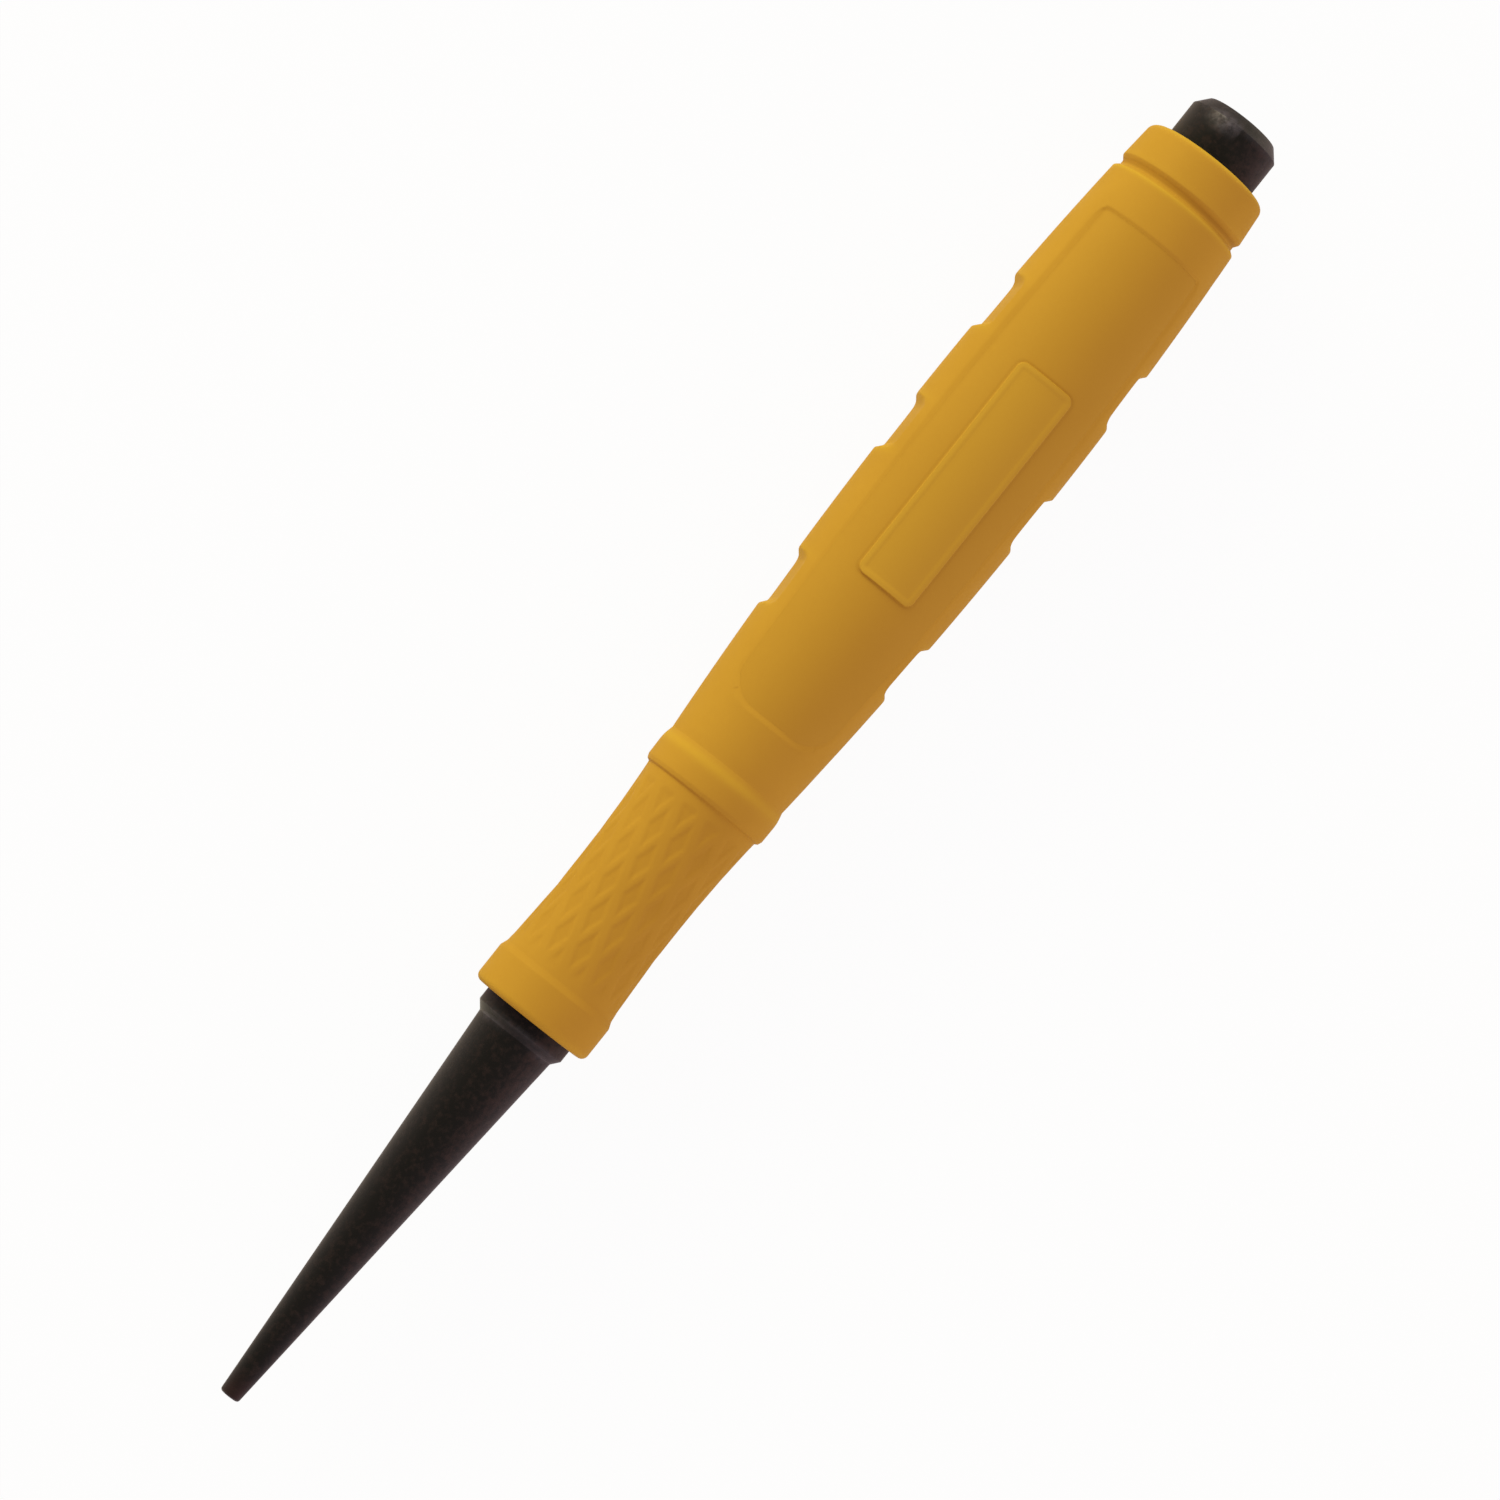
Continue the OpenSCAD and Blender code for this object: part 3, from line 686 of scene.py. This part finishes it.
# One closed surface: the neck and the body outside, the bore inside, and a window on each face with
# walls between the two. Each part is a grid of radius over station and angle.
def makeSleeve(size=sleeveSize):
    g = gripSize
    shell = newShell()

    # Collar, netted neck and ring. The neck's bow is reckoned from a little inside the step's end, and the
    # corner there is a hair lower, so that its fillet runs out into the bow.
    inset, neckTop = size["neckInset"], 74.3  # the neck's grid ends just inside the crowned body
    neckStations = np.arange(size["stepEnd"] + inset, size["neckEnd"] - inset, size["neckStep"])
    neckR = bowed(neckStations, (size["stepEnd"] - 0.35, size["neckLowR"]), (size["waist"], size["waistR"]),
                  (size["neckEnd"], size["neckHighR"]))
    collar = [(gripStart, size["endR"], 0), (gripStart, size["collarR"], size["endRound"]),
              (size["collarEnd"], size["collarR"], size["collarRound"]),
              (size["stepEnd"], size["neckLowR"] - 0.02, size["stepRound"])]
    ring = [(size["ringStart"] + beyond, r, fillet) for beyond, r, fillet in size["ringFoot"]]
    ring += [(size["ringMiddle"], size["ringR"], size["ringRound"]),
             (g["ringEnd"], g["crownLow"] - 0.01, size["crownRound"]),
             (neckTop, float(crown(np.array(neckTop))), 0)]
    path = filletPath(collar + [(s, r, 0) for s, r in zip(neckStations, neckR)] + ring, size["longest"])
    neckAngles = -g["windowTurn"] + np.arange(size["neckAround"]) * 360 / size["neckAround"]
    station, angle = np.meshgrid(path[:, 0], neckAngles, indexing="ij")
    sunk = netDepth(station, angle)
    radius = np.repeat(path[:, 1:], size["neckAround"], axis=1) - sunk
    onNeck = (station > size["stepEnd"]) & (station < size["ringStart"])
    # Painted shade in the net's pockets, at the ring's foot and along the step, and painted highlights on the
    # ring's upper side and the collar's lower edge
    paintedShade = (size["pocketShade"] * sunk / size["pocketDeep"] * onNeck
              + alongEdge(station, size["ringStart"], *size["ringFootShade"])
              + alongEdge(station, size["stepEnd"], *size["stepShade"]))
    wearAndHighlight = (alongEdge(station, g["ringEnd"], *size["ringHighlight"])
              + alongEdge(station, gripStart, *size["collarHighlight"]))
    neckIds = addGrid(shell, station, radius, angle, np.clip(wearAndHighlight, 0, 1), np.clip(paintedShade, 0, 1))
    addQuads(shell, closedRound(neckIds))

    # Crowned body, with a window on each face. Its columns and rows are closer where the form turns, and
    # each row entry is the station that a stretch ends at and its number of steps.
    w, near = g["windowTurn"], 4.8
    front = stretches(-w, (w, 32))
    side = stretches(w, (w + near, 7), (180 - near - w, 50), (180 - w, 7))
    bodyAngles = np.concatenate([front[:-1], side[:-1], front[:-1] + 180, side[:-1] + 180])
    rows = [(77.1, 8), (78.3, 8), (g["windowLow"], 12), (81.65, 12)]
    for middle, before in zip(size["recessMiddles"], (12, 20, 20)):
        rows += [(middle - 3.6, before), (middle - 1.9, 16), (middle + 1.9, 8), (middle + 3.6, 16)]
    rows += [(134.4, 20), (g["windowHigh"], 8), (135.9, 10), (138.9, 8)]
    bodyStations = stretches(74.6, *rows)
    rowLow = int(np.argmin(np.abs(bodyStations - g["windowLow"])))
    rowHigh = int(np.argmin(np.abs(bodyStations - g["windowHigh"])))
    station, angle = np.meshgrid(bodyStations, bodyAngles, indexing="ij")
    station, angle, inside = windowWarp(station, angle)
    sine, cosine = np.sin(np.radians(angle)), np.cos(np.radians(angle))
    # The step down to the panels is wider at their lower edge, and along their sides, where it grows
    # from sideFrom on and ends in the last millimetre before the upper edge
    atLow = 1 - ease((station - g["windowLow"]) / size["lowLong"])
    onSide = ease((station - size["sideFrom"]) / size["sideLong"]) * ease(g["windowHigh"] - 0.1 - station)
    slope = size["edgeSlope"] + size["lowMore"] * atLow + size["sideMore"] * onSide
    radius = bodyRadius(station, angle) - sinkAt(station, sine) * (1 - ease(-inside / slope))
    # Painted shade along the panels' edges, darker towards one side, and a painted highlight at the recesses'
    # ends, towards the sides
    shadeWide = size["shadeWide"] + size["shadeMore"] * onSide
    paintedShade = edgeShade(station, sine * np.sign(cosine)) * np.exp(-(np.maximum(-inside, 0) / shadeWide) ** 2)
    wearAndHighlight = np.full(station.shape, size["wearAll"])
    for middle in size["recessMiddles"]:
        away = np.abs(station - middle)
        wearAndHighlight += alongEdge(away, size["recessFlat"], *size["recessHighlight"]) * np.abs(sine) ** 12
    bodyIds = addGrid(shell, station, radius, angle, np.clip(wearAndHighlight, 0, 1), paintedShade)
    windowColumns, windowAt = len(front) - 1, (0, len(front) + len(side) - 2)
    kept = np.ones((len(bodyStations) - 1, len(bodyAngles)), bool)
    for column in windowAt:
        kept[rowLow:rowHigh, column:column + windowColumns] = False
    addQuads(shell, closedRound(bodyIds), kept)
    addBridge(shell, neckIds[-1], neckAngles, bodyIds[0], bodyAngles)

    # Groove and end cap, in a grid that starts just above the body's
    corners = [(s, float(crown(np.array(s))), fillet)
               for s, fillet in ((139.0, 0), (size["grooveEdge"], size["grooveEdgeRound"]))]
    corners += [(size["floorStart"], size["grooveFloorR"], size["floorRound"]),
                (size["floorEnd"], size["grooveFloorR"], size["floorRound"]),
                (size["capStart"], size["capR"], size["capRound"]),
                (gripEnd, size["capEndR"], size["endRound"]), (gripEnd, size["endR"], 0)]
    capPath = filletPath(corners, size["longest"])
    station, angle = np.meshgrid(capPath[:, 0], bodyAngles, indexing="ij")
    radius = np.repeat(capPath[:, 1:], len(bodyAngles), axis=1)
    # Painted shade on the groove's upper side, painted highlights on the groove's lip and the cap's rim, and
    # wear at the cap's lower edge
    paintedShade = alongEdge(station, size["floorEnd"], *size["grooveShade"])
    wearAndHighlight = (size["wearAll"] + alongEdge(station, size["grooveEdge"], *size["grooveLipHighlight"])
              + alongEdge(station, size["capStart"], *size["capWear"])
              + alongEdge(station, gripEnd, *size["capRimHighlight"]) * (radius > size["capRimHighlightR"]))
    capIds = addGrid(shell, station, radius, angle, wearAndHighlight, paintedShade)
    addQuads(shell, closedRound(np.vstack([bodyIds[-1:], capIds])))

    # The bore, with a rib in the bar's groove at each end. It widens for the core, with the windows' edges
    # on the rows and columns of the body.
    boreR, coreR = size["boreR"], g["coreR"]
    ribWide, ribHigh = punchSize["keyWide"], punchSize["keyDeep"]
    rib = [(0, boreR), (ribHigh, boreR - ribHigh), (ribWide - ribHigh, boreR - ribHigh), (ribWide, boreR)]
    lowBore = [(gripStart + inward, r) for inward, r in rib]
    lowBore += [(g["coreStart"], boreR), (g["coreStart"], coreR)]
    highBore = [(g["coreEnd"], coreR), (g["coreEnd"], boreR)]
    highBore += [(gripEnd - inward, r) for inward, r in rib[::-1]]
    boreAngles = bodyAngles[::fineSteps]
    lowIds = [addGrid(shell, np.full(len(boreAngles), s), r, boreAngles) for s, r in lowBore]
    highIds = [addGrid(shell, np.full(len(boreAngles), s), r, boreAngles) for s, r in highBore]
    station, angle = np.meshgrid(bodyStations[rowLow:rowHigh + 1:fineSteps], boreAngles, indexing="ij")
    station, angle, inside = windowWarp(station, angle)
    # Painted shade at the foot of the windows' walls, which shows in the seam round the panels
    windowIds = addGrid(shell, station, coreR, angle, 0.0, size["boreShade"])
    boreIds = np.vstack([np.array(lowIds), windowIds, np.array(highIds)])
    kept = np.ones((len(boreIds) - 1, len(boreAngles)), bool)
    first, last = len(lowIds), len(lowIds) + len(windowIds) - 1
    for column in windowAt:
        kept[first:last, column // fineSteps:(column + windowColumns) // fineSteps] = False
    addQuads(shell, closedRound(boreIds), kept)
    for column in windowAt:
        fine = bodyIds[rowLow:rowHigh + 1, column:column + windowColumns + 1]
        coarse = windowIds[:, column // fineSteps:(column + windowColumns) // fineSteps + 1]
        addWalls(shell, fine, coarse)
    addBridge(shell, neckIds[0], neckAngles, boreIds[0], boreAngles)
    addBridge(shell, capIds[-1], bodyAngles, boreIds[-1], boreAngles)
    return finishPiece(shell, "gripSleeve", mouldedSoftRubber(), "grip_sleeve")


# The rigid core, with a panel and a plate on each face

coreSize = dict(
    gap=0.02,  # between the mouldings
    seam=0.005,  # between them along a panel's edge, where they touch
    rimRound=0.1, rimDrop=0.01,  # a panel's own soft edge
    cornerKeep=1.35, cornerNear=(4.0, 3.1),  # how far outside and inside a corner its grid is bent
    plateLow=94.85, plateHigh=119.25, plateHalf=3.1,
    plateRound=0.8, plateKeep=1.2, plateNear=(3.5, 2.6),
    lipWide=0.3, wallWide=0.12,
    lipSlope=0.5,  # the gentle fall from the lip to the field
    frontProud=0.25, frontLip=0.09,  # the curved name plate, above its panel
    backTop=axisHeight, backLip=0.1,  # the flat plate, which lies on the bench
    footDeep=0.12,  # how far a panel's foot is inside the tube
    around=96,
    lipWear=0.85, fieldWear=0.6,  # on the plate
    plateFootShadow=(0.3, -0.12, 0.14),  # painted shadow round the plate's foot: how much, where outside its outline, and how wide
    shadeWide=0.16,  # painted shade along a panel's edge
)


# Share of the plate's height at a depth inside its outline: up its wall, and then down inside its lip
def plateRise(depth, size=coreSize):
    half = size["wallWide"] / 2
    up = ease((depth + half) / size["wallWide"])
    down = ease((depth - size["lipWide"]) / size["lipSlope"])
    return up, down


# Bends a grid round the two corners at one end of an outline, where it is near them both ways. The
# outline's side is edgeY from the middle, and sign is 1 at its lower end and -1 at its upper.
def roundEnd(station, y, corner, sign, edgeY, radius, keep, near):
    inAlong, inAcross = sign * (station - corner), edgeY - np.abs(y)
    movedAlong, movedAcross = roundCorner(inAlong, inAcross, radius, keep)
    return (np.where(near, corner + sign * movedAlong, station),
            np.where(near, np.sign(y) * (edgeY - movedAcross), y))


# One panel as a closed slab. Its top is a height over station and distance across: the crown less the
# sink, with the plate's wall, lip and field added. Its sides run in towards the axis.
def addPanel(shell, middle, isFlat, size=coreSize):
    g = gripSize
    low, high = g["windowLow"] + size["seam"], g["windowHigh"] - size["seam"]
    wall, lip, fall = size["wallWide"] / 2, size["lipWide"], size["lipSlope"]
    start, end, plateHalf = size["plateLow"], size["plateHigh"], size["plateHalf"]
    rows = stretches(low, (low + 0.12, 4), (low + 3, 12), (start - 0.5, 20), (start - wall, 4),
                     (start + wall, 4), (start + lip, 2), (start + lip + fall, 6), (end - lip - fall, 28),
                     (end - lip, 6), (end - wall, 2), (end + wall, 4), (end + 0.5, 4), (high - 0.6, 20),
                     (high - 0.12, 4), (high, 4))
    across = stretches(0, (plateHalf - lip - fall, 6), (plateHalf - lip, 6), (plateHalf - wall, 2),
                       (plateHalf + wall, 4))
    beyond = stretches(0, (0.12, 2), (0.55, 4), (0.95, 6), (1, 2))[1:]  # shares of the way to the edge
    station = rows[:, None]
    last = across[-1]
    outer = last + (sideAcross(station) - size["seam"] - last) * beyond[None, :]
    oneSide = np.hstack([np.repeat(across[None, :], len(rows), axis=0), outer])
    y = np.hstack([-oneSide[:, :0:-1], oneSide])
    station = np.repeat(station, y.shape[1], axis=1)

    # Depths inside the plate and the panel, and both outlines' corners rounded
    inPlate = np.minimum(np.minimum(station - start, end - station), plateHalf - np.abs(y))
    for corner, sign in ((start, 1), (end, -1)):
        nearX, nearY = size["plateNear"]
        near = (np.abs(station - corner) < nearX) & (np.abs(plateHalf - np.abs(y)) < nearY)
        station, y = roundEnd(station, y, corner, sign, plateHalf, size["plateRound"], size["plateKeep"], near)
    edgeAcross = sideAcross(station) - size["seam"]
    inPanel = np.minimum(np.minimum(station - low, high - station), edgeAcross - np.abs(y))
    for corner, sign, radius in ((low, 1, g["lowRound"]), (high, -1, g["highRound"])):
        nearX, nearY = size["cornerNear"]
        near = (sign * (station - corner) < nearX) & (edgeAcross - np.abs(y) < nearY)
        station, y = roundEnd(station, y, corner, sign, edgeAcross, radius, size["cornerKeep"], near)

    panelR = crown(station) - sinkAt(station, sineAt(station, y))
    rim = size["rimDrop"] * towardsHead(station) * (1 - ease(inPanel / size["rimRound"]))
    panelTop = np.sqrt(panelR ** 2 - y ** 2) - rim
    up, down = plateRise(inPlate)
    if isFlat:
        plateTop, lipDrop = size["backTop"], size["backLip"]
    else:
        plateTop, lipDrop = np.sqrt((panelR + size["frontProud"]) ** 2 - y ** 2), size["frontLip"]
    top = panelTop + (plateTop - panelTop) * up - lipDrop * down
    # Painted shadow round the plate's foot, and painted shade along the panel's edge
    edgeShare = np.exp(-(np.maximum(inPanel, 0) / size["shadeWide"]) ** 2)
    paintedShade = alongEdge(inPlate, 0, *size["plateFootShadow"]) + edgeShade(station, -y / panelR) * edgeShare
    wearAndHighlight = up * (size["lipWear"] - (size["lipWear"] - size["fieldWear"]) * down)
    flip = 1 if middle == 0 else -1
    topIds = addPoints(shell, station + tipX, flip * y, axisHeight + flip * top,
                       np.clip(wearAndHighlight, 0, 1), np.clip(paintedShade, 0, 1))
    addQuads(shell, topIds)
    coarse = (slice(None, None, fineSteps),) * 2
    turn = np.arctan2(y, top)[coarse]
    footR = g["coreR"] - size["footDeep"]
    footIds = addPoints(shell, station[coarse] + tipX, flip * footR * np.sin(turn),
                        axisHeight + flip * footR * np.cos(turn))
    addQuads(shell, footIds)
    addWalls(shell, topIds, footIds)


# A tube round the bar, with ribs in the bar's inner grooves and its flats, and the two panels. The tube
# is a profile turned about the axis.
def makeCore(size=coreSize):
    g, punch = gripSize, punchSize
    shell = newShell()
    half, keyDeep = punch["keyWide"] / 2, punch["keyDeep"]
    boreR, outerR = punch["barWide"] / 2 + size["gap"], g["coreR"] - size["gap"]
    keyR = boreR - keyDeep
    start, end = g["coreStart"] + size["gap"], g["coreEnd"] - size["gap"]
    bore = [(end, boreR)]
    for middle in punch["innerKeys"][::-1]:
        bore += [(middle + half, boreR), (middle + half - keyDeep, keyR),
                 (middle - half + keyDeep, keyR), (middle - half, boreR)]
        if middle > punch["flatEnd"]:
            justIn = 0.01  # so that the flats end square
            bore += [(punch["flatEnd"], boreR), (punch["flatEnd"] - justIn, boreR),
                     (punch["flatStart"] + justIn, boreR), (punch["flatStart"], boreR)]
    bore += [(start, boreR)]
    path = np.array([(start, outerR), (end, outerR)] + bore + [(start, outerR)])
    angles = np.arange(size["around"]) * 360 / size["around"]
    station, angle = np.meshgrid(path[:, 0], angles, indexing="ij")
    radius = np.repeat(path[:, 1:], len(angles), axis=1)
    radius = np.where(radius < outerR, cutByFlats(station, radius, angle, keyR), radius)
    addQuads(shell, closedRound(addGrid(shell, station, radius, angle)))
    addPanel(shell, 0, False)
    addPanel(shell, 180, True)
    return finishPiece(shell, "gripCore", mouldedPlastic(), "grip_core")


makePunch()
makeCore()
makeSleeve()
print("pieces made")


# The paper that it lies on

paperLook = dict(
    white="#FAFAFA",
    wide=6.0,  # metres
    glow=0.95,  # the share of its own white in what the camera and reflections see
)


# White paper. What the camera and reflections see is mostly its own white, and the rest keeps the
# object's shadow.
def makePaper(look=paperLook):
    material, tree = newMaterial("whitePaper")[:2]
    matte = addNode(tree, "ShaderNodeBsdfDiffuse", {"Color": linearColour(look["white"])})
    white = addNode(tree, "ShaderNodeEmission", {"Color": (1, 1, 1, 1), "Strength": 1.0})
    share = addNode(tree, "ShaderNodeMath", {0: addSeen(tree), 1: look["glow"]}, operation="MULTIPLY")
    both = addNode(tree, "ShaderNodeMixShader", {0: share, 1: matte, 2: white})
    addNode(tree, "ShaderNodeOutputMaterial", {"Surface": both})
    half = look["wide"] / 2
    corners = [(-half, -half, 0), (half, -half, 0), (half, half, 0), (-half, half, 0)]
    mesh = bpy.data.meshes.new("paper")
    mesh.from_pydata(corners, [], [(0, 1, 2, 3)])
    mesh.materials.append(material)
    addObject("paper", mesh)


# One for rays from the camera, in reflections and through glass, and zero for the rest
def addSeen(tree):
    path = addNode(tree, "ShaderNodeLightPath")
    seen = path.outputs["Is Camera Ray"]
    for kind in ("Is Glossy Ray", "Is Transmission Ray"):
        seen = addNode(tree, "ShaderNodeMath", {0: seen, 1: path.outputs[kind]}, operation="MAXIMUM")
    return seen


# Light

lightLook = dict(
    walls="#FCE6E5", level=0.60,  # the studio's even light, faintly pink
    # A greenish soft box on the +Y side, and a weaker white one across from it. Each has its power in
    # watts, its height in degrees, and how far it is swung towards the head, in degrees.
    keyColour="#F4FDB9", keyPower=8.5, keyHigh=20, keyAhead=34,
    fillColour="#FFF6FF", fillPower=2.3, fillHigh=15, fillAhead=-10,
    away=1.2, wide=0.7,  # metres
)


# A soft box at a height and a bearing in degrees from a side of the tool, facing the middle
def addSoftBox(name, side, high, ahead, colour, power, look):
    high, ahead = math.radians(high), math.radians(ahead)
    way = Vector((math.sin(ahead) * math.cos(high), side * math.cos(ahead) * math.cos(high), math.sin(high)))
    lamp = bpy.data.lights.new(name, "AREA")
    lamp.shape = "DISK"
    lamp.size = look["wide"]
    lamp.energy = power
    lamp.color = linearColour(colour)[:3]
    facing = way.to_track_quat("Z", "Y").to_matrix().to_4x4()
    addObject(name, lamp).matrix_world = Matrix.Translation(way * look["away"]) @ facing


# The studio's walls light it evenly, and two low soft boxes light its sides more than its top
def makeLight(look=lightLook):
    world = bpy.data.worlds.new("studio")
    world.use_nodes = True
    world.node_tree.nodes.clear()
    tree = world.node_tree
    walls = addNode(tree, "ShaderNodeBackground",
                    {"Color": linearColour(look["walls"]), "Strength": look["level"]})
    white = addNode(tree, "ShaderNodeBackground", {"Color": (1, 1, 1, 1), "Strength": 1.0})
    both = addNode(tree, "ShaderNodeMixShader", {0: addSeen(tree), 1: walls, 2: white})
    addNode(tree, "ShaderNodeOutputWorld", {"Surface": both})
    bpy.context.scene.world = world
    addSoftBox("key", 1, look["keyHigh"], look["keyAhead"], look["keyColour"], look["keyPower"], look)
    addSoftBox("fill", -1, look["fillHigh"], look["fillAhead"], look["fillColour"], look["fillPower"], look)


# The camera

cameraLook = dict(
    lens=144.192, sensor=36.0,
    lean=6.15,  # degrees from straight above the axis, towards +Y
    foot=53.13,  # station that it stands over
    distance=553.4,  # mm from the axis
    aside=0.49,  # mm
    nod=2.3808,  # degrees towards the head
    headAlong=(0.62285, 0.78234),  # the way to the head in the picture, to the right and up
)


# It stands on a line that leans from the axis, nods towards the head, and is rolled so that the tool
# runs up the picture to the right
def makeCamera(look=cameraLook):
    lean, nod = math.radians(look["lean"]), math.radians(look["nod"])
    along = Vector((1, 0, 0))
    out = Vector((0, math.sin(lean), math.cos(lean)))
    right = Vector((0, -math.cos(lean), math.sin(lean)))
    foot = Vector(((look["foot"] + tipX) / 1000, 0, axisHeight / 1000))
    spot = foot + out * look["distance"] / 1000 + right * look["aside"] / 1000
    forward = along * math.sin(nod) - out * math.cos(nod)
    toHead = along * math.cos(nod) + out * math.sin(nod)
    c, s = look["headAlong"]
    axisX = toHead * c + right * s
    axisY = toHead * s - right * c
    data = bpy.data.cameras.new("camera")
    data.lens = look["lens"]
    data.sensor_width = look["sensor"]
    data.clip_start = 0.01
    camera = addObject("camera", data)
    turn = Matrix((axisX, axisY, -forward)).transposed().to_4x4()
    camera.matrix_world = Matrix.Translation(spot) @ turn
    bpy.context.scene.camera = camera


makePaper()
makeLight()
makeCamera()
bpy.context.scene.view_settings.view_transform = "Standard"
print("stage set")
